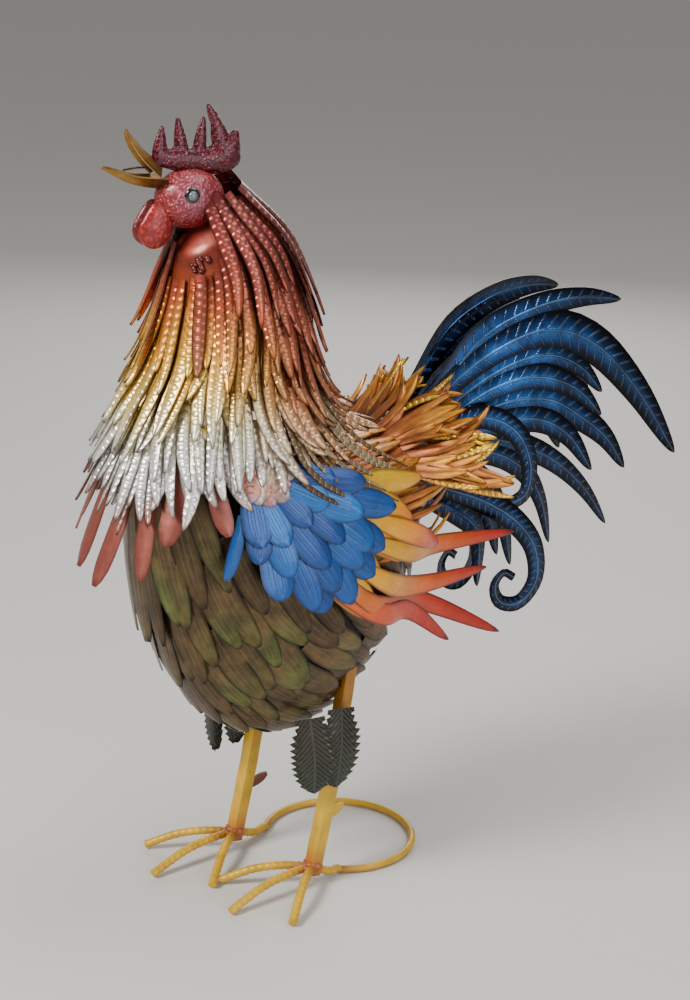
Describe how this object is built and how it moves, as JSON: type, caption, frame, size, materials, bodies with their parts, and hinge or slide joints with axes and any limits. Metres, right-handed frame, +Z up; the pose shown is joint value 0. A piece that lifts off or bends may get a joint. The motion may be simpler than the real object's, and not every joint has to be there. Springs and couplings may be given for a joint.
{
  "type": "garden rooster sculpture",
  "caption": "Standing rooster of cut, pressed and painted sheet-metal feathers, on rod toes and an open floor hoop.",
  "frame": {"origin": "centre of the bounding box in plan, on the floor plane the toes and the hoop rest on", "axes": "+Z up; the bird looks along -Y; its own left side is +X; its tail runs out along +Y"},
  "size_m": [0.2154, 0.5928, 0.648],
  "materials": {
    "bronze_feathers": "semi-gloss dark bronze-brown metallic paint",
    "neck_cone": "satin orange-red shading to gold",
    "face_red": "semi-gloss pebbled red with a mauve face",
    "eye_bead": "glossy dark bead",
    "comb_red": "glossy pebbled crimson",
    "beak_gold": "semi-gloss olive gold metallic paint",
    "hackle_copper": "semi-gloss copper metallic paint",
    "hackle_gold": "semi-gloss gold metallic paint",
    "hackle_cream": "semi-gloss cream and silver metallic paint",
    "hackle_salmon": "semi-gloss salmon and silver metallic paint",
    "wing_blue": "semi-gloss cobalt blue metallic paint",
    "quill_flame": "semi-gloss yellow to red metallic paint",
    "saddle_gold": "semi-gloss copper-gold metallic paint",
    "tail_blue": "glossy steel-blue pearl paint",
    "leaf_green": "glossy dark green-bronze paint",
    "foot_yellow": "satin yellow paint with brown shading"
  },
  "bodies": {
    "root": {"body_shell": "bronze_feathers", "neck_core": "neck_cone", "head": "face_red", "eye_left": "eye_bead", "eye_right": "eye_bead", "comb": "comb_red", "beak_upper": "beak_gold", "beak_lower": "beak_gold", "tongue": "beak_gold", "wattle_left": "face_red", "wattle_right": "face_red", "hackle_row_1": "hackle_copper", "hackle_row_2": "hackle_copper", "hackle_row_3": "hackle_gold", "hackle_row_4": "hackle_cream", "hackle_row_5": "hackle_cream", "hackle_row_6": "hackle_salmon", "body_row_1": "bronze_feathers", "body_row_2": "bronze_feathers", "body_row_3": "bronze_feathers", "body_row_4": "bronze_feathers", "body_row_5": "bronze_feathers", "body_row_6": "bronze_feathers", "body_row_7": "bronze_feathers", "body_row_8": "bronze_feathers", "wing_left_row_1": "wing_blue", "wing_right_row_1": "wing_blue", "wing_left_row_2": "wing_blue", "wing_right_row_2": "wing_blue", "wing_left_row_3": "wing_blue", "wing_right_row_3": "wing_blue", "wing_quills_left": "quill_flame", "wing_quills_right": "quill_flame", "saddle_row_1": "saddle_gold", "saddle_row_2": "saddle_gold", "tail_inner": "tail_blue", "tail_fan_left": "tail_blue", "tail_curl_upper_left": "tail_blue", "tail_curl_lower_left": "tail_blue", "tail_fan_right": "tail_blue", "tail_curl_upper_right": "tail_blue", "tail_curl_lower_right": "tail_blue", "thigh_leaves_left": "leaf_green", "thigh_leaves_right": "leaf_green", "toe_left_inner": "foot_yellow", "toe_left_middle": "foot_yellow", "toe_left_outer": "foot_yellow", "toe_left_rear": "foot_yellow", "leg_left": "foot_yellow", "spur_left": "foot_yellow", "toe_right_inner": "foot_yellow", "toe_right_middle": "foot_yellow", "toe_right_outer": "foot_yellow", "toe_right_rear": "foot_yellow", "leg_right": "foot_yellow", "spur_right": "foot_yellow", "ring": "foot_yellow"}
  },
  "joints": []
}
